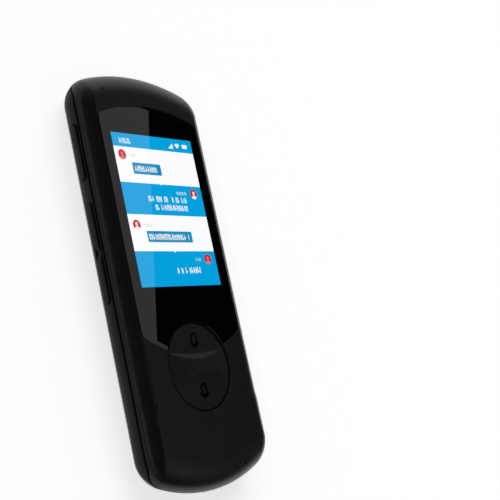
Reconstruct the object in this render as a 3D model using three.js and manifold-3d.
// A handheld voice translator, in millimetres.
// It lies on its back: +Z out of the screen, +Y towards the top end, +X to the right seen from the front.
// The origin is under the centre of its box, so the back rests on z = 0. The side keys are on the -X side.

import * as THREE from 'three';
import { mergeVertices } from 'three/addons/utils/BufferGeometryUtils.js';
import Module from 'manifold-3d';

const wasm = await Module();
wasm.setup();

// Body form
const bodyLength = 133.2;
const bodyWidth = 55.4;
const bodyThickness = 11.4;
const wall = 1.3;
const topArcRadius = 72;
const bottomArcRadius = 60;
const cornerRadius = 10;
const flatCornerRadius = 3.2;
const sideBevelWidth = 5;
const endBevelLength = 9;
const creaseRise = 0.18;
const seamGap = 0.5;

// Fits
const fitGap = 0.1;
const keyGap = 0.3;
const rockerGap = 0.35;
const cutOverrun = 2;
const smallestRadius = 0.8;

// Side bands, which taper to a point at the corners
const bandHeight = 3.9;
const taperStartFromEnd = 11;
const taperEndFromEnd = 5.5;

// Cover glass, in the flat of the front
const glassThickness = 1.1;
const glassFromTopEnd = 11.65;
const glassTopArcRadius = 60;
const glassBottomArcRadius = 42;
const glassTopCornerRadius = 1.2;
const glassBottomCornerRadius = 2.4;
const glassBottomAboveKeyCentre = 3.9;
const shelfThickness = 0.9;
const shelfOverlap = 1;

// Display under the glass
const litFromGlassTop = 10.12;
const litFromGlassSide = 4.34;
const litFromKeyRim = 11.82;
const panelSideMargin = 2.24;
const panelTopMargin = 2.6;
const panelBottomMargin = 4.5;
const panelThickness = 1.2;
const backlightThickness = 1.1;
const backlightInset = 0.3;
const windowClearance = 0.4;

// Round microphone key
const micKeyFromBottomEnd = 37.15;
const micKeyRadius = 13.5;
const micKeyPlateThickness = 1.8;
const micKeySink = 0.2;
const saddleHeight = 0.65;
const padArcRadius = 30;
const saddleHalfWidth = 2.2;
const plungerFromCentre = 8;
const plungerRadius = 1.3;
const plungerLength = 0.85;
const trunnionRadius = 0.8;
const trunnionInner = 8.6;
const trunnionOuter = 11.6;
const trunnionBelowPlate = 0.5;
const lugInner = 8.6;
const lugThickness = 1.2;
const lugHalfWidth = 1.1;

// Carrier and silicone pad under the round key
const carrierInnerRadius = 10.2;
const carrierRimWidth = 1;
const carrierRimClearance = 0.75;
const carrierFloorThickness = 0.8;
const carrierPostHalfWidth = 2;
const trunnionClearance = 0.15;
const rockerRimClearance = 0.7;
const padThickness = 0.5;
const padBumpHeight = 0.2;
const padRimGap = 0.3;
const plungerGap = 0.45;

// Main board stack, from the display down
const shieldClearance = 0.2;
const shieldHeight = 1.1;
const boardThickness = 0.8;
const boardSideInset = 5.1;
const boardEndInset = 3.5;
const boardCornerRadius = 6.5;
const switchSize = 4;
const switchHeight = 0.8;
const switchDomeRadius = 1.2;
const switchDomeShare = 0.4;

// Shields
const processorShieldWidth = 22;
const processorShieldLength = 19;
const processorShieldFromSide = 8.7;
const processorShieldFromConnector = 4;
const radioShieldWidth = 15;
const radioShieldLength = 13;
const radioShieldFromSide = 8.7;
const radioShieldFromPanelTop = 6;

// Display flex and connector
const flexWidth = 12;
const flexThickness = 0.25;
const flexBulge = 2;
const flexReach = 3.5;
const connectorWidth = 13;
const connectorLength = 3.4;
const connectorHeight = 0.9;

// Antenna board
const antennaWidth = 18;
const antennaLength = 4.5;
const antennaThickness = 0.8;
const antennaX = 6;
const antennaFromTopEnd = 8.6;

// Microphones
const micHoleRadius = 0.45;
const topMicFromSide = 10.4;
const topMicFromTopEdge = 5.3;
const bottomMicFromSide = 14.7;
const bottomMicFromBottomEdge = 4.2;
const micWidth = 3.4;
const micLength = 2.6;
const micHeight = 1;
const bootRadius = 1.7;
const bootBoreRadius = 0.6;

// Speaker hole pattern on the back, two crescents about one centre
const crescentFromTopEnd = 22.2;
const crescentFromBottomEnd = 24;
const patternRowPitch = 2.65;
const patternHolePitch = 3.66;
const patternRowCount = 8;
const patternFirstRowHoles = 12;
const speakerHoleRadius = 0.75;
const speakerHoleSizeShares = [0.7, 0.85, 0.95, 1, 0.95, 0.85, 0.7, 0.6];
const speakerHoleSides = 6;

// Speakers and their dust meshes
const speakerWidth = 30;
const speakerLength = 15;
const speakerCornerRadius = 3;
const meshThickness = 0.25;
const meshMargin = 1.6;
const speakerSeatGap = 0.3;

// Rear disc
const discRadius = 15;
const discThickness = 0.5;
const discRecess = 0.6;

// Battery and inner frame
const frameRailWidth = 3.4;
const batteryEndMargin = 10.5;
const batteryEdgeRadius = 1.2;
const batteryCircuitLength = 3.2;
const batteryCircuitGap = 0.4;
const frameEndInset = 6.6;
const frameCornerRadius = 5;

// Side keys, measured along the side
const powerKeyFromTopEnd = 27.3;
const powerKeyLength = 17.4;
const volumeKeyFromTopEnd = 58.6;
const volumeKeyLength = 30.6;
const volumeNubSpacing = 18;
const sideKeyHeight = 2.1;
const sideKeyFlangeMargin = 0.5;
const sideKeyFlangeThickness = 0.6;
const sideKeyFlangeGap = 0.8;
const sideKeyNubLength = 0.45;
const sideKeyNubHeight = 1.6;
const sideKeyTravelRoom = 0.45;
const sideSwitchDepth = 0.9;
const sideSwitchLength = 4;
const sideSwitchHeight = 3;
const sideBoardThickness = 0.4;
const sideBoardHeight = 4.4;
const sideBoardMargin = 4;
const notchRadius = 2.2;
const notchDepth = 0.5;

// Charging socket in the bottom end
const socketWidth = 8.94;
const socketHeight = 3.16;
const socketLength = 7.3;
const socketFromEnd = 0.9;
const socketOpeningClearance = 0.25;
const socketMouthDepth = 5;
const socketShellThickness = 0.3;
const socketTongueThickness = 0.7;
const socketTongueWidth = 6.2;

// Screws that hold the board to the inner frame
const screwShankRadius = 0.6;
const screwHeadRadius = 1.3;
const screwHeadHeight = 0.6;
const screwLength = 3;
const screwHoleClearance = 0.2;
const screwFromSide = 8.7;
const screwFromEnd = 12.5;

// Counts
const profileSteps = 5;
const arcSteps = 6;
const cornerSteps = 4;
const taperSteps = 4;
const roundSides = 40;
const smallSides = 12;

// Places worked out from the sizes above
const halfLength = bodyLength / 2;
const halfWidth = bodyWidth / 2;
const midZ = bodyThickness / 2;
const glassTopY = halfLength - glassFromTopEnd;
const glassHalfWidth = halfWidth - sideBevelWidth;
const micKeyY = -halfLength + micKeyFromBottomEnd;
const glassBottomY = micKeyY + glassBottomAboveKeyCentre;
const litTopY = glassTopY - litFromGlassTop;
const litBottomY = micKeyY + micKeyRadius + litFromKeyRim;
const litHalfWidth = glassHalfWidth - litFromGlassSide;
const panelHalfWidth = litHalfWidth + panelSideMargin;
const panelTopY = litTopY + panelTopMargin;
const panelBottomY = litBottomY - panelBottomMargin;

const flexEndY = panelBottomY + flexReach;
const connectorTopY = flexEndY + fitGap + connectorLength;

// Heights of the stack, from the front down
const glassBottomZ = bodyThickness - glassThickness;
const recessFloorZ = glassBottomZ - fitGap;
const shelfBottomZ = recessFloorZ - shelfThickness;
const panelTopZ = glassBottomZ - fitGap;
const panelBottomZ = panelTopZ - panelThickness;
const backlightTopZ = panelBottomZ - fitGap;
const backlightBottomZ = backlightTopZ - backlightThickness;
const shieldTopZ = backlightBottomZ - shieldClearance;
const boardTopZ = shieldTopZ - shieldHeight - fitGap;
const boardBottomZ = boardTopZ - boardThickness;
const frameTopZ = boardBottomZ - fitGap;
const frameBottomZ = wall + fitGap;

// Heights under the round key
const micPlateTopZ = bodyThickness - micKeySink;
const micPlateBottomZ = micPlateTopZ - micKeyPlateThickness;
const trunnionZ = micPlateBottomZ - trunnionBelowPlate;
const plungerEndZ = micPlateBottomZ - plungerLength;
const carrierFloorTopZ = micPlateBottomZ - rockerRimClearance;
const carrierFloorBottomZ = carrierFloorTopZ - carrierFloorThickness;
const carrierOuterRadius = micKeyRadius + carrierRimClearance + carrierRimWidth;
const padTopZ = plungerEndZ - plungerGap;
const micHoleRimRadius = micKeyRadius + rockerGap;

// Distances inwards from the left side
const keyFlangeOuterX = -halfWidth + wall + sideKeyFlangeGap;
const keyFlangeInnerX = keyFlangeOuterX + sideKeyFlangeThickness;
const keyNubX = keyFlangeInnerX + sideKeyNubLength;
const sideSwitchOuterX = keyNubX + sideKeyTravelRoom;
const sideBoardOuterX = sideSwitchOuterX + sideSwitchDepth;
const sideBoardInnerX = sideBoardOuterX + sideBoardThickness;
const frameHalfWidth = -sideBoardInnerX - fitGap;

// Side key places
const powerKeyY = halfLength - powerKeyFromTopEnd;
const volumeKeyY = halfLength - volumeKeyFromTopEnd;
const volumeNubYs = [volumeKeyY + volumeNubSpacing / 2, volumeKeyY - volumeNubSpacing / 2];

// Microphone places
const topMicX = -halfWidth + topMicFromSide;
const topMicY = halfLength - arcDrop(topMicX, topArcRadius) - topMicFromTopEdge;
const bottomMicX = halfWidth - bottomMicFromSide;
const bottomMicY = -halfLength + arcDrop(bottomMicX, bottomArcRadius) + bottomMicFromBottomEdge;

// Both crescents lie about the middle of the rear disc
const crescentTopY = halfLength - crescentFromTopEnd;
const crescentBottomY = -halfLength + crescentFromBottomEnd;
const patternCentreY = (crescentTopY + crescentBottomY) / 2;
const crescentRadius = (crescentTopY - crescentBottomY) / 2;
const patternInnerRadius = crescentRadius - (patternRowCount - 1) * patternRowPitch / 2;
const patternAngleStep = patternHolePitch / patternInnerRadius;

// Speakers and battery, between the back wall and the board
const meshBottomZ = wall + fitGap;
const meshTopZ = meshBottomZ + meshThickness;
const speakerBottomZ = meshTopZ + speakerSeatGap;
const batteryHalfWidth = frameHalfWidth - frameRailWidth - keyGap;
const batteryHalfLength = crescentRadius - speakerLength / 2 - batteryEndMargin;

const finishes = {
  shell: { color: 0x1b1b1c, roughness: 0.55, metalness: 0 },
  key: { color: 0x1e1e20, roughness: 0.5, metalness: 0 },
  glass: { color: 0x050506, roughness: 0.08, metalness: 0 },
  disc: { color: 0x242426, roughness: 0.25, metalness: 0 },
  display: { color: 0x1a9fd6, roughness: 0.3, metalness: 0 },
  metal: { color: 0xb8bbc0, roughness: 0.35, metalness: 1 },
  board: { color: 0x14532d, roughness: 0.5, metalness: 0 },
  innerPlastic: { color: 0x2c2c30, roughness: 0.6, metalness: 0 },
  rubber: { color: 0x17181a, roughness: 0.85, metalness: 0 },
  battery: { color: 0x8d9096, roughness: 0.45, metalness: 0.4 },
  flex: { color: 0xb4641e, roughness: 0.45, metalness: 0 },
  mesh: { color: 0x0c0c0d, roughness: 0.9, metalness: 0 },
};

const translator = new THREE.Group();

// Solids from three.js geometry

function solidOf(geometry) {
  const bare = geometry.clone();
  bare.deleteAttribute('normal');
  bare.deleteAttribute('uv');
  const merged = mergeVertices(bare);
  return new wasm.Manifold(new wasm.Mesh({
    numProp: 3,
    vertProperties: new Float32Array(merged.attributes.position.array),
    triVerts: new Uint32Array(merged.index.array),
  }));
}

function addNode(name, solid, finish) {
  const result = solid.getMesh();
  const geometry = new THREE.BufferGeometry();
  geometry.setAttribute('position', new THREE.BufferAttribute(Float32Array.from(result.vertProperties), 3));
  geometry.setIndex(new THREE.BufferAttribute(Uint32Array.from(result.triVerts), 1));
  geometry.computeVertexNormals();
  const mesh = new THREE.Mesh(geometry, new THREE.MeshStandardMaterial(finishes[finish]));
  mesh.name = name;
  translator.add(mesh);
}

function box(xLow, xHigh, yLow, yHigh, zLow, zHigh) {
  const geometry = new THREE.BoxGeometry(xHigh - xLow, yHigh - yLow, zHigh - zLow);
  geometry.translate((xLow + xHigh) / 2, (yLow + yHigh) / 2, (zLow + zHigh) / 2);
  return solidOf(geometry);
}

function cylinder(x, y, radius, zLow, zHigh, sides) {
  const geometry = new THREE.CylinderGeometry(radius, radius, zHigh - zLow, sides);
  geometry.rotateX(Math.PI / 2);
  geometry.translate(x, y, (zLow + zHigh) / 2);
  return solidOf(geometry);
}

// A flat outline in X and Y, given a thickness along Z
function plate(shape, zLow, zHigh) {
  const geometry = new THREE.ExtrudeGeometry(shape, {
    depth: zHigh - zLow,
    bevelEnabled: false,
    curveSegments: cornerSteps,
  });
  geometry.translate(0, 0, zLow);
  return solidOf(geometry);
}

// A side outline, its first coordinate along Y and its second along Z, given a thickness along X
function sidePlate(shape, xLow, xHigh) {
  const geometry = new THREE.ExtrudeGeometry(shape, {
    depth: xHigh - xLow,
    bevelEnabled: false,
    curveSegments: cornerSteps,
  });
  const turn = new THREE.Matrix4().makeBasis(
    new THREE.Vector3(0, 1, 0),
    new THREE.Vector3(0, 0, 1),
    new THREE.Vector3(1, 0, 0),
  );
  geometry.applyMatrix4(turn);
  geometry.translate(xLow, 0, 0);
  return solidOf(geometry);
}

// An outline in X and Z, given a thickness along Y
function endPlate(shape, yLow, yHigh) {
  const geometry = new THREE.ExtrudeGeometry(shape, {
    depth: yHigh - yLow,
    bevelEnabled: false,
    curveSegments: cornerSteps,
  });
  geometry.rotateX(Math.PI / 2);
  geometry.translate(0, yHigh, 0);
  return solidOf(geometry);
}

function rectangle(xLow, xHigh, yLow, yHigh, radius) {
  const shape = new THREE.Shape();
  shape.moveTo(xLow + radius, yLow);
  shape.lineTo(xHigh - radius, yLow);
  shape.absarc(xHigh - radius, yLow + radius, radius, -Math.PI / 2, 0);
  shape.lineTo(xHigh, yHigh - radius);
  shape.absarc(xHigh - radius, yHigh - radius, radius, 0, Math.PI / 2);
  shape.lineTo(xLow + radius, yHigh);
  shape.absarc(xLow + radius, yHigh - radius, radius, Math.PI / 2, Math.PI);
  shape.lineTo(xLow, yLow + radius);
  shape.absarc(xLow + radius, yLow + radius, radius, Math.PI, 1.5 * Math.PI);
  return shape;
}

function unionOf(solids) {
  return solids.reduce((sum, solid) => sum.add(solid));
}

// How far an end's arc has dropped from its peak at a distance from the middle
function arcDrop(x, radius) {
  return radius - Math.sqrt(radius ** 2 - x ** 2);
}

// Body form: rings of one outline, which has an arc at each end and rounded corners

function arcPoints(centreX, centreY, radius, fromAngle, toAngle, steps) {
  const points = [];
  for (let i = 0; i <= steps; i += 1) {
    const angle = fromAngle + (toAngle - fromAngle) * i / steps;
    points.push(new THREE.Vector2(centreX + radius * Math.cos(angle), centreY + radius * Math.sin(angle)));
  }
  return points;
}

// The right-hand half of one end: from the middle of the end's arc to the side, as seen at the top end
function endHalf(sideX, endY, arcRadius, corner) {
  const arcCentreY = endY - arcRadius;
  const cornerX = sideX - corner;
  const meetAngle = Math.asin(cornerX / (arcRadius - corner));
  const cornerY = arcCentreY + (arcRadius - corner) * Math.cos(meetAngle);
  const arc = arcPoints(0, arcCentreY, arcRadius, Math.PI / 2, Math.PI / 2 - meetAngle, arcSteps);
  const round = arcPoints(cornerX, cornerY, corner, Math.PI / 2 - meetAngle, 0, cornerSteps);
  return [...arc, ...round.slice(1)];
}

// A closed outline, counterclockwise, with its ends at topY and bottomY
function slabOutline(sideX, topY, topRadius, topCorner, bottomY, bottomRadius, bottomCorner) {
  const top = endHalf(sideX, topY, topRadius, topCorner);
  const bottom = endHalf(sideX, -bottomY, bottomRadius, bottomCorner);
  const mirror = (p) => new THREE.Vector2(-p.x, p.y);
  const flip = (p) => new THREE.Vector2(p.x, -p.y);
  return [
    ...bottom.map(flip),
    ...top.slice().reverse(),
    ...top.slice(1).map(mirror),
    ...bottom.slice(1).reverse().map(flip).map(mirror),
  ];
}

function insetOutline(sideInset, endInset, corner) {
  return slabOutline(
    halfWidth - sideInset,
    halfLength - endInset,
    topArcRadius - endInset,
    corner,
    -halfLength + endInset,
    bottomArcRadius - endInset,
    corner,
  );
}

// How far a quarter ellipse has drawn in at a height above its widest level
function ellipseInset(width, semiHeight, height) {
  return width * (1 - Math.sqrt(Math.max(0, 1 - (height / semiHeight) ** 2)));
}

// Rings of the body, drawn in by a wall: the sides keep a crease at the flat, the ends run into it smoothly
function bodyRings(inset) {
  const semiHeight = midZ - inset;
  const sideSemiHeight = semiHeight + creaseRise;
  const sideWidth = (sideBevelWidth - inset) / ellipseInset(1, sideSemiHeight, semiHeight);
  const endWidth = endBevelLength - inset;
  const rings = [];
  for (let i = -profileSteps; i <= profileSteps; i += 1) {
    const height = semiHeight * Math.sin(Math.PI / 2 * i / profileSteps);
    const levelShare = Math.abs(height) / semiHeight;
    const corner = cornerRadius + (flatCornerRadius - cornerRadius) * levelShare ** 2;
    const outline = insetOutline(
      inset + ellipseInset(sideWidth, sideSemiHeight, height),
      inset + ellipseInset(endWidth, semiHeight, height),
      Math.max(corner - inset, smallestRadius),
    );
    rings.push(outline.map((p) => new THREE.Vector3(p.x, p.y, midZ + height)));
  }
  return rings;
}

// A closed skin over rings of equal count, from the lowest to the highest, with a flat fan on each end
function loft(rings) {
  const count = rings[0].length;
  const points = rings.flat();
  const faces = [];
  for (let r = 0; r + 1 < rings.length; r += 1) {
    for (let i = 0; i < count; i += 1) {
      const a = r * count + i;
      const b = r * count + (i + 1) % count;
      faces.push(a, b, b + count, a, b + count, a + count);
    }
  }
  const last = (rings.length - 1) * count;
  const lowCentre = points.length;
  const centreOf = (ring) => new THREE.Vector3(0, 0, ring[0].z);
  points.push(centreOf(rings[0]), centreOf(rings[rings.length - 1]));
  for (let i = 0; i < count; i += 1) {
    const next = (i + 1) % count;
    faces.push(lowCentre, next, i, lowCentre + 1, last + i, last + next);
  }
  const geometry = new THREE.BufferGeometry().setFromPoints(points);
  geometry.setIndex(faces);
  return solidOf(geometry);
}

function bodySolid(inset) {
  return loft(bodyRings(inset));
}

// Seams: the band's half height falls to nothing between the two taper stations near each end

function bandHalfHeight(y) {
  const fromEnd = halfLength - Math.abs(y);
  const along = (fromEnd - taperEndFromEnd) / (taperStartFromEnd - taperEndFromEnd);
  const clamped = Math.min(Math.max(along, 0), 1);
  return bandHeight / 2 * (1 - Math.cos(Math.PI * clamped)) / 2;
}

function taperStations() {
  const stations = [];
  for (let i = 0; i <= taperSteps; i += 1) {
    const fromEnd = taperEndFromEnd + (taperStartFromEnd - taperEndFromEnd) * i / taperSteps;
    stations.push(halfLength - fromEnd);
  }
  return [...stations.map((y) => -y), ...stations.slice().reverse()];
}

// Everything farther from the middle level than the band, on the front's side or the back's side
function coverRegion(side) {
  const far = midZ + side * (midZ + cutOverrun);
  const edge = (y) => midZ + side * (bandHalfHeight(y) + seamGap / 2);
  const endY = halfLength + cutOverrun;
  const shape = new THREE.Shape();
  shape.moveTo(-endY, far);
  shape.lineTo(-endY, edge(endY));
  for (const y of taperStations()) {
    shape.lineTo(y, edge(y));
  }
  shape.lineTo(endY, edge(endY));
  shape.lineTo(endY, far);
  return sidePlate(shape, -halfWidth - cutOverrun, halfWidth + cutOverrun);
}

// The space between the covers along one side
function bandRegion(xLow, xHigh) {
  const room = (y) => bandHalfHeight(y) - seamGap / 2;
  const stations = taperStations().filter((y) => room(y) > 0);
  const shape = new THREE.Shape();
  stations.forEach((y, i) => {
    if (i === 0) {
      shape.moveTo(y, midZ - room(y));
    } else {
      shape.lineTo(y, midZ - room(y));
    }
  });
  for (const y of stations.slice().reverse()) {
    shape.lineTo(y, midZ + room(y));
  }
  return sidePlate(shape, xLow, xHigh);
}

const outerBody = bodySolid(0);
const innerBody = bodySolid(wall);
const shellWalls = outerBody.subtract(innerBody);

// Front: cover, glass and display

function glassOutline(margin) {
  return new THREE.Shape(slabOutline(
    glassHalfWidth + margin,
    glassTopY + margin,
    glassTopArcRadius + margin,
    Math.max(glassTopCornerRadius + margin, smallestRadius),
    glassBottomY - margin,
    glassBottomArcRadius + margin,
    Math.max(glassBottomCornerRadius + margin, smallestRadius),
  ));
}

function micKeyHole() {
  return cylinder(0, micKeyY, micHoleRimRadius, frameTopZ, bodyThickness + cutOverrun, roundSides);
}

function buildFrontCover() {
  const shelf = plate(glassOutline(shelfOverlap), shelfBottomZ, glassBottomZ)
    .add(cylinder(0, micKeyY, carrierOuterRadius, shelfBottomZ, glassBottomZ, roundSides));
  const recess = plate(glassOutline(0), recessFloorZ, bodyThickness + cutOverrun);
  const window = box(
    -panelHalfWidth - windowClearance,
    panelHalfWidth + windowClearance,
    panelBottomY - windowClearance,
    panelTopY + windowClearance,
    shelfBottomZ - cutOverrun,
    bodyThickness,
  );
  const flexWindow = box(
    -flexWidth / 2 - windowClearance,
    flexWidth / 2 + windowClearance,
    panelBottomY - flexBulge - windowClearance,
    panelBottomY,
    shelfBottomZ - cutOverrun,
    bodyThickness,
  );
  const micHoles = [[topMicX, topMicY], [bottomMicX, bottomMicY]].map(([x, y]) => (
    cylinder(x, y, micHoleRadius, midZ, bodyThickness, smallSides)
  ));
  const cuts = unionOf([recess, window, flexWindow, micKeyHole(), ...micHoles]);
  addNode('front_cover', shellWalls.add(shelf).intersect(coverRegion(1)).subtract(cuts), 'shell');
}

function buildCoverGlass() {
  const glass = plate(glassOutline(-fitGap), glassBottomZ, bodyThickness);
  addNode('cover_glass', glass.subtract(micKeyHole()), 'glass');
}

function buildDisplay() {
  const panel = box(-panelHalfWidth, panelHalfWidth, panelBottomY, panelTopY, panelBottomZ, panelTopZ);
  addNode('display_panel', panel, 'display');
  const backlight = box(
    -panelHalfWidth + backlightInset,
    panelHalfWidth - backlightInset,
    panelBottomY + backlightInset,
    panelTopY - backlightInset,
    backlightBottomZ,
    backlightTopZ,
  );
  addNode('display_backlight', backlight, 'metal');
}

// A ribbon that leaves the panel's lower edge, turns down and runs back under it to its connector
function buildDisplayFlex() {
  const topZ = panelBottomZ + panelThickness / 2;
  const bottomZ = boardTopZ + fitGap + connectorHeight / 2;
  const bendRadius = (topZ - bottomZ) / 2;
  const bendY = panelBottomY - flexBulge + bendRadius;
  const outer = arcPoints(bendY, (topZ + bottomZ) / 2, bendRadius, Math.PI / 2, 1.5 * Math.PI, arcSteps);
  const inner = arcPoints(
    bendY,
    (topZ + bottomZ) / 2,
    bendRadius - flexThickness,
    1.5 * Math.PI,
    Math.PI / 2,
    arcSteps,
  );
  const ribbon = new THREE.Shape([
    new THREE.Vector2(panelBottomY - fitGap, topZ),
    ...outer,
    new THREE.Vector2(flexEndY, bottomZ),
    new THREE.Vector2(flexEndY, bottomZ + flexThickness),
    ...inner,
    new THREE.Vector2(panelBottomY - fitGap, topZ - flexThickness),
  ]);
  addNode('display_flex', sidePlate(ribbon, -flexWidth / 2, flexWidth / 2), 'flex');
  const connector = box(
    -connectorWidth / 2,
    connectorWidth / 2,
    flexEndY + fitGap,
    connectorTopY,
    boardTopZ + fitGap,
    boardTopZ + fitGap + connectorHeight,
  );
  addNode('display_connector', connector, 'innerPlastic');
}

// Back: cover, meshes and disc

function patternHoles() {
  const holes = [];
  for (let row = 0; row < patternRowCount; row += 1) {
    const count = patternFirstRowHoles - row;
    const distance = patternInnerRadius + row * patternRowPitch;
    const radius = speakerHoleRadius * speakerHoleSizeShares[row];
    for (let i = 0; i < count; i += 1) {
      const angle = (i - (count - 1) / 2) * patternAngleStep;
      holes.push({ x: distance * Math.sin(angle), y: distance * Math.cos(angle), radius });
    }
  }
  return holes;
}

function speakerHoles() {
  const holes = [];
  for (const side of [1, -1]) {
    for (const hole of patternHoles()) {
      const y = patternCentreY + side * hole.y;
      holes.push(cylinder(hole.x, y, hole.radius, -cutOverrun, wall + cutOverrun, speakerHoleSides));
    }
  }
  return unionOf(holes);
}

// A ring sector around one crescent of holes
function crescent(side, margin) {
  const innerRadius = patternInnerRadius - margin;
  const outerRadius = patternInnerRadius + (patternRowCount - 1) * patternRowPitch + margin;
  const halfAngle = (patternFirstRowHoles - 1) / 2 * patternAngleStep + margin / patternInnerRadius;
  const middle = side * Math.PI / 2;
  const outer = arcPoints(0, patternCentreY, outerRadius, middle - halfAngle, middle + halfAngle, arcSteps);
  const inner = arcPoints(0, patternCentreY, innerRadius, middle + halfAngle, middle - halfAngle, arcSteps);
  return new THREE.Shape([...outer, ...inner]);
}

function socketOutline(margin) {
  const middleZ = boardBottomZ - fitGap - socketHeight / 2;
  return rectangle(
    -socketWidth / 2 - margin,
    socketWidth / 2 + margin,
    middleZ - socketHeight / 2 - margin,
    middleZ + socketHeight / 2 + margin,
    socketHeight / 2 + margin,
  );
}

function buildRearCover() {
  const recess = cylinder(0, patternCentreY, discRadius + fitGap, -cutOverrun, discRecess, roundSides);
  const socketOpening = endPlate(
    socketOutline(socketOpeningClearance),
    -halfLength - cutOverrun,
    -halfLength + socketMouthDepth,
  );
  const cuts = unionOf([recess, socketOpening, speakerHoles()]);
  addNode('rear_cover', shellWalls.intersect(coverRegion(-1)).subtract(cuts), 'shell');
}

function buildRearDisc() {
  const topZ = discRecess - fitGap / 2;
  const disc = cylinder(0, patternCentreY, discRadius, topZ - discThickness, topZ, roundSides);
  addNode('rear_disc', disc, 'disc');
}

function buildSpeakers() {
  for (const [name, side] of [['upper', 1], ['lower', -1]]) {
    const mesh = plate(crescent(side, meshMargin), meshBottomZ, meshTopZ);
    addNode(`speaker_mesh_${name}`, mesh.intersect(bodySolid(wall + fitGap)), 'mesh');
    const middleY = patternCentreY + side * crescentRadius;
    const outline = rectangle(
      -speakerWidth / 2,
      speakerWidth / 2,
      middleY - speakerLength / 2,
      middleY + speakerLength / 2,
      speakerCornerRadius,
    );
    addNode(`speaker_${name}`, plate(outline, speakerBottomZ, frameTopZ), 'innerPlastic');
  }
}

// Inner frame, battery and board

function screwPlaces() {
  const x = halfWidth - screwFromSide;
  const y = halfLength - screwFromEnd;
  return [[x, y], [-x, y], [x, -y], [-x, -y]];
}

function screwHoles(zLow, zHigh) {
  const radius = screwShankRadius + screwHoleClearance;
  return unionOf(screwPlaces().map(([x, y]) => cylinder(x, y, radius, zLow, zHigh, smallSides)));
}

function socketRoom() {
  const topY = -halfLength + socketFromEnd + socketLength + keyGap;
  const half = socketWidth / 2 + keyGap;
  return box(-half, half, -halfLength, topY, frameBottomZ - cutOverrun, frameTopZ + cutOverrun);
}

function buildInnerFrame() {
  const outline = new THREE.Shape(slabOutline(
    frameHalfWidth,
    halfLength - frameEndInset,
    topArcRadius - frameEndInset,
    frameCornerRadius,
    -halfLength + frameEndInset,
    bottomArcRadius - frameEndInset,
    frameCornerRadius,
  ));
  const batteryRoom = box(
    -batteryHalfWidth - keyGap,
    batteryHalfWidth + keyGap,
    patternCentreY - batteryHalfLength - keyGap,
    patternCentreY + batteryHalfLength + batteryCircuitGap + batteryCircuitLength + keyGap,
    frameBottomZ - cutOverrun,
    frameTopZ + cutOverrun,
  );
  const rooms = [batteryRoom, socketRoom(), screwHoles(frameBottomZ + fitGap, frameTopZ + cutOverrun)];
  for (const side of [1, -1]) {
    const middleY = patternCentreY + side * crescentRadius;
    rooms.push(box(
      -speakerWidth / 2 - keyGap,
      speakerWidth / 2 + keyGap,
      middleY - speakerLength / 2 - keyGap,
      middleY + speakerLength / 2 + keyGap,
      frameBottomZ - cutOverrun,
      frameTopZ + cutOverrun,
    ));
    rooms.push(plate(crescent(side, meshMargin + fitGap), frameBottomZ - cutOverrun, meshTopZ + fitGap));
  }
  const block = plate(outline, frameBottomZ, frameTopZ).intersect(bodySolid(wall + fitGap));
  addNode('inner_frame', block.subtract(unionOf(rooms)), 'innerPlastic');
}

function buildBattery() {
  const outline = rectangle(
    -batteryHalfWidth,
    batteryHalfWidth,
    patternCentreY - batteryHalfLength,
    patternCentreY + batteryHalfLength,
    batteryEdgeRadius,
  );
  addNode('battery', plate(outline, frameBottomZ, frameTopZ - fitGap), 'battery');
  const circuitLowY = patternCentreY + batteryHalfLength + batteryCircuitGap;
  const circuit = box(
    -batteryHalfWidth,
    batteryHalfWidth,
    circuitLowY,
    circuitLowY + batteryCircuitLength,
    frameBottomZ + boardThickness,
    frameTopZ,
  );
  addNode('battery_circuit', circuit, 'board');
}

function buildMainBoard() {
  const outline = new THREE.Shape(insetOutline(boardSideInset, boardEndInset, boardCornerRadius));
  const board = plate(outline, boardBottomZ, boardTopZ);
  const drill = screwHoles(boardBottomZ - cutOverrun, boardTopZ + cutOverrun);
  addNode('main_board', board.subtract(drill), 'board');
}

// A block given by its middle and sizes in plan
function middleBox(x, y, width, length, zLow, zHigh) {
  return box(x - width / 2, x + width / 2, y - length / 2, y + length / 2, zLow, zHigh);
}

function buildShields() {
  const lowZ = boardTopZ + fitGap;
  const processorX = -halfWidth + processorShieldFromSide + processorShieldWidth / 2;
  const processorY = connectorTopY + processorShieldFromConnector + processorShieldLength / 2;
  const radioX = halfWidth - radioShieldFromSide - radioShieldWidth / 2;
  const radioY = panelTopY - radioShieldFromPanelTop - radioShieldLength / 2;
  addNode(
    'processor_shield',
    middleBox(processorX, processorY, processorShieldWidth, processorShieldLength, lowZ, shieldTopZ),
    'metal',
  );
  addNode(
    'radio_shield',
    middleBox(radioX, radioY, radioShieldWidth, radioShieldLength, lowZ, shieldTopZ),
    'metal',
  );
}

function buildAntennaBoard() {
  const y = halfLength - antennaFromTopEnd;
  const lowZ = boardTopZ + fitGap;
  const board = middleBox(antennaX, y, antennaWidth, antennaLength, lowZ, lowZ + antennaThickness);
  addNode('antenna_board', board.intersect(bodySolid(wall + fitGap)), 'board');
}

function buildBoardScrews() {
  screwPlaces().forEach(([x, y], i) => {
    const headLowZ = boardTopZ + fitGap;
    const shankTopZ = headLowZ + screwHeadHeight / 2;
    const shank = cylinder(x, y, screwShankRadius, headLowZ - screwLength, shankTopZ, smallSides);
    const head = cylinder(x, y, screwHeadRadius, headLowZ, headLowZ + screwHeadHeight, smallSides);
    addNode(`board_screw_${i + 1}`, shank.add(head), 'metal');
  });
}

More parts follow.
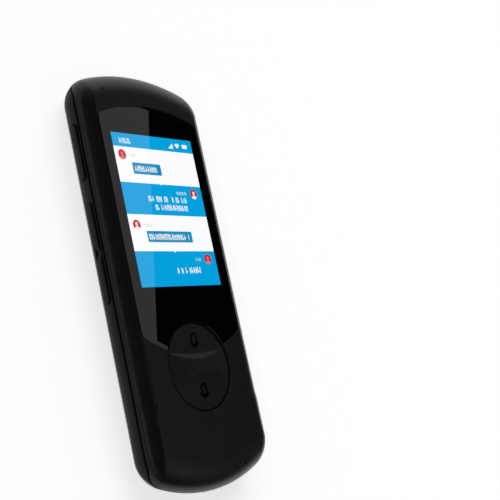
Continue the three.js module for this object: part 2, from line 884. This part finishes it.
// Microphones with their rubber boots, which reach up to the inside of the front cover
function buildMicrophone(name, x, y) {
  const lowZ = boardTopZ + fitGap;
  const topZ = lowZ + micHeight;
  addNode(`microphone_${name}`, middleBox(x, y, micWidth, micLength, lowZ, topZ), 'metal');
  const tube = cylinder(x, y, bootRadius, topZ + fitGap, bodyThickness, smallSides);
  const bore = cylinder(x, y, bootBoreRadius, topZ - cutOverrun, bodyThickness + cutOverrun, smallSides);
  addNode(`mic_boot_${name}`, tube.intersect(bodySolid(wall + fitGap)).subtract(bore), 'rubber');
}

// Round key and what it presses

function buildMicKey() {
  const disc = cylinder(0, micKeyY, micKeyRadius, micPlateBottomZ, micPlateTopZ, roundSides);
  const saddleTopZ = micPlateTopZ + saddleHeight;
  const arcCentre = padArcRadius + saddleHalfWidth;
  const pads = [1, -1].map((side) => cylinder(
    0,
    micKeyY + side * arcCentre,
    padArcRadius,
    micPlateTopZ,
    saddleTopZ + cutOverrun,
    roundSides * 2,
  ));
  const crown = new THREE.Shape(arcPoints(
    0,
    saddleTopZ - saddleCrownRadius(),
    saddleCrownRadius(),
    Math.PI / 2 - saddleCrownAngle(),
    Math.PI / 2 + saddleCrownAngle(),
    arcSteps,
  ));
  const saddleLowZ = micPlateTopZ - micKeyPlateThickness / 2;
  const saddle = endPlate(crown, micKeyY - micKeyRadius, micKeyY + micKeyRadius)
    .intersect(cylinder(0, micKeyY, micKeyRadius, saddleLowZ, saddleTopZ + cutOverrun, roundSides))
    .subtract(unionOf(pads));
  const plungers = [1, -1].map((side) => cylinder(
    0,
    micKeyY + side * plungerFromCentre,
    plungerRadius,
    plungerEndZ,
    micPlateTopZ - micKeyPlateThickness / 2,
    smallSides,
  ));
  const lugs = [];
  for (const side of [1, -1]) {
    const lugXs = [side * lugInner, side * (lugInner + lugThickness)].sort((a, b) => a - b);
    lugs.push(box(
      lugXs[0],
      lugXs[1],
      micKeyY - lugHalfWidth,
      micKeyY + lugHalfWidth,
      trunnionZ - trunnionRadius,
      micPlateTopZ - micKeyPlateThickness / 2,
    ));
    const pinXs = [side * trunnionInner, side * trunnionOuter].sort((a, b) => a - b);
    lugs.push(trunnion(pinXs[0], pinXs[1], trunnionRadius));
  }
  addNode('mic_key', unionOf([disc, saddle, ...plungers, ...lugs]), 'key');
}

// The saddle is highest in the middle and meets the pads' level at the key's rim
function saddleCrownRadius() {
  return (micKeyRadius ** 2 + saddleHeight ** 2) / (2 * saddleHeight);
}

function saddleCrownAngle() {
  return Math.asin(micKeyRadius / saddleCrownRadius());
}

function trunnion(xLow, xHigh, radius) {
  const round = new THREE.Shape(arcPoints(micKeyY, trunnionZ, radius, 0, 2 * Math.PI, smallSides).slice(1));
  return sidePlate(round, xLow, xHigh);
}

function buildKeyCarrier() {
  const lowZ = carrierFloorBottomZ;
  const floorDisc = cylinder(0, micKeyY, carrierOuterRadius, lowZ, carrierFloorTopZ, roundSides);
  const rimDisc = cylinder(0, micKeyY, carrierOuterRadius, lowZ, shelfBottomZ - fitGap, roundSides);
  const rimBore = cylinder(
    0,
    micKeyY,
    carrierOuterRadius - carrierRimWidth,
    carrierFloorBottomZ - cutOverrun,
    bodyThickness,
    roundSides,
  );
  const postOuterX = carrierOuterRadius - carrierRimWidth / 2;
  const postTopZ = micPlateBottomZ - keyGap;
  const posts = [1, -1].map((side) => {
    const xs = [side * (carrierInnerRadius - fitGap), side * postOuterX].sort((a, b) => a - b);
    return box(
      xs[0],
      xs[1],
      micKeyY - carrierPostHalfWidth,
      micKeyY + carrierPostHalfWidth,
      carrierFloorBottomZ,
      postTopZ,
    );
  });
  const floorBore = cylinder(
    0,
    micKeyY,
    carrierInnerRadius,
    carrierFloorBottomZ - cutOverrun,
    bodyThickness,
    roundSides,
  );
  const slotRadius = trunnionRadius + trunnionClearance;
  const slots = [1, -1].map((side) => {
    const xs = [side * (carrierInnerRadius - fitGap), side * (trunnionOuter + keyGap)].sort((a, b) => a - b);
    const round = trunnion(xs[0] - fitGap, xs[1], slotRadius);
    const throat = box(
      xs[0] - fitGap,
      xs[1],
      micKeyY - slotRadius,
      micKeyY + slotRadius,
      trunnionZ,
      bodyThickness,
    );
    return round.add(throat);
  });
  const body = unionOf([floorDisc, rimDisc.subtract(rimBore), ...posts]).subtract(floorBore);
  addNode('key_carrier', body.subtract(unionOf(slots)), 'innerPlastic');
}

function buildKeyPad() {
  const sheetTopZ = padTopZ - padBumpHeight;
  const sheet = cylinder(
    0,
    micKeyY,
    carrierInnerRadius - padRimGap,
    sheetTopZ - padThickness,
    sheetTopZ,
    roundSides,
  );
  const bumps = [1, -1].map((side) => cylinder(
    0,
    micKeyY + side * plungerFromCentre,
    plungerRadius,
    sheetTopZ - padThickness / 2,
    padTopZ,
    smallSides,
  ));
  const lugRoom = [1, -1].map((side) => {
    const xs = [side * (lugInner - keyGap), side * carrierInnerRadius].sort((a, b) => a - b);
    const halfRoom = lugHalfWidth + keyGap;
    return box(xs[0], xs[1], micKeyY - halfRoom, micKeyY + halfRoom, boardTopZ, bodyThickness);
  });
  addNode('key_pad', unionOf([sheet, ...bumps]).subtract(unionOf(lugRoom)), 'rubber');
}

function buildMicSwitches() {
  for (const [name, side] of [['upper', 1], ['lower', -1]]) {
    const y = micKeyY + side * plungerFromCentre;
    const lowZ = boardTopZ + fitGap;
    const half = switchSize / 2;
    const shoulderZ = lowZ + switchHeight * (1 - switchDomeShare);
    const base = box(-half, half, y - half, y + half, lowZ, shoulderZ);
    const dome = cylinder(0, y, switchDomeRadius, lowZ, lowZ + switchHeight, smallSides);
    addNode(`mic_switch_${name}`, base.add(dome), 'metal');
  }
}

// Side bands, side keys and their switches

function keyOutline(middleY, length, height) {
  const half = height / 2;
  return rectangle(middleY - length / 2, middleY + length / 2, midZ - half, midZ + half, half);
}

function buildSideBands() {
  const slots = [[powerKeyY, powerKeyLength], [volumeKeyY, volumeKeyLength]].map(([y, length]) => sidePlate(
    keyOutline(y, length + 2 * keyGap, sideKeyHeight + 2 * keyGap),
    -halfWidth - cutOverrun,
    -halfWidth + wall + cutOverrun,
  ));
  const left = shellWalls.intersect(bandRegion(-halfWidth - cutOverrun, 0));
  addNode('side_band_left', left.subtract(unionOf(slots)), 'shell');
  addNode('side_band_right', shellWalls.intersect(bandRegion(0, halfWidth + cutOverrun)), 'shell');
}

function sideKey(middleY, length, nubYs) {
  const cap = sidePlate(keyOutline(middleY, length, sideKeyHeight), -halfWidth, keyFlangeInnerX);
  const flangeLength = length + 2 * sideKeyFlangeMargin;
  const flangeHeight = sideKeyHeight + 2 * sideKeyFlangeMargin;
  const flange = sidePlate(keyOutline(middleY, flangeLength, flangeHeight), keyFlangeOuterX, keyFlangeInnerX);
  const nubs = nubYs.map((y) => box(
    keyFlangeOuterX,
    keyNubX,
    y - sideKeyNubHeight / 2,
    y + sideKeyNubHeight / 2,
    midZ - sideKeyNubHeight / 2,
    midZ + sideKeyNubHeight / 2,
  ));
  return unionOf([cap, flange, ...nubs]);
}

function buildSideKeys() {
  addNode('power_key', sideKey(powerKeyY, powerKeyLength, [powerKeyY]), 'key');
  const notchX = -halfWidth - notchRadius + notchDepth;
  const notch = cylinder(notchX, volumeKeyY, notchRadius, 0, bodyThickness, smallSides);
  addNode('volume_key', sideKey(volumeKeyY, volumeKeyLength, volumeNubYs).subtract(notch), 'key');
}

function buildSideSwitches() {
  const [volumeUpY, volumeDownY] = volumeNubYs;
  const places = [['power', powerKeyY], ['volume_up', volumeUpY], ['volume_down', volumeDownY]];
  for (const [name, y] of places) {
    const body = box(
      sideSwitchOuterX + sideSwitchDepth * switchDomeShare,
      sideBoardOuterX - fitGap,
      y - sideSwitchLength / 2,
      y + sideSwitchLength / 2,
      midZ - sideSwitchHeight / 2,
      midZ + sideSwitchHeight / 2,
    );
    const plunger = box(
      sideSwitchOuterX,
      sideBoardOuterX - fitGap,
      y - sideKeyNubHeight / 2,
      y + sideKeyNubHeight / 2,
      midZ - sideKeyNubHeight / 2,
      midZ + sideKeyNubHeight / 2,
    );
    addNode(`${name}_switch`, body.add(plunger), 'metal');
  }
  const board = box(
    sideBoardOuterX,
    sideBoardInnerX,
    volumeDownY - sideBoardMargin,
    powerKeyY + sideBoardMargin,
    midZ - sideBoardHeight / 2,
    midZ + sideBoardHeight / 2,
  );
  addNode('side_switch_board', board, 'flex');
}

function buildSocket() {
  const lowY = -halfLength + socketFromEnd;
  const shell = endPlate(socketOutline(0), lowY, lowY + socketLength);
  const mouth = endPlate(socketOutline(-socketShellThickness), lowY - cutOverrun, lowY + socketMouthDepth);
  const middleZ = boardBottomZ - fitGap - socketHeight / 2;
  const tongue = box(
    -socketTongueWidth / 2,
    socketTongueWidth / 2,
    lowY + socketTongueThickness,
    lowY + socketMouthDepth + socketShellThickness,
    middleZ - socketTongueThickness / 2,
    middleZ + socketTongueThickness / 2,
  );
  addNode('charging_socket', shell.subtract(mouth).add(tongue), 'metal');
}

buildFrontCover();
buildRearCover();
buildSideBands();
buildCoverGlass();
buildDisplay();
buildDisplayFlex();
buildRearDisc();
buildSpeakers();
buildInnerFrame();
buildBattery();
buildMainBoard();
buildShields();
buildAntennaBoard();
buildBoardScrews();
buildMicrophone('top', topMicX, topMicY);
buildMicrophone('bottom', bottomMicX, bottomMicY);
buildMicKey();
buildKeyCarrier();
buildKeyPad();
buildMicSwitches();
buildSideKeys();
buildSideSwitches();
buildSocket();

export default translator;
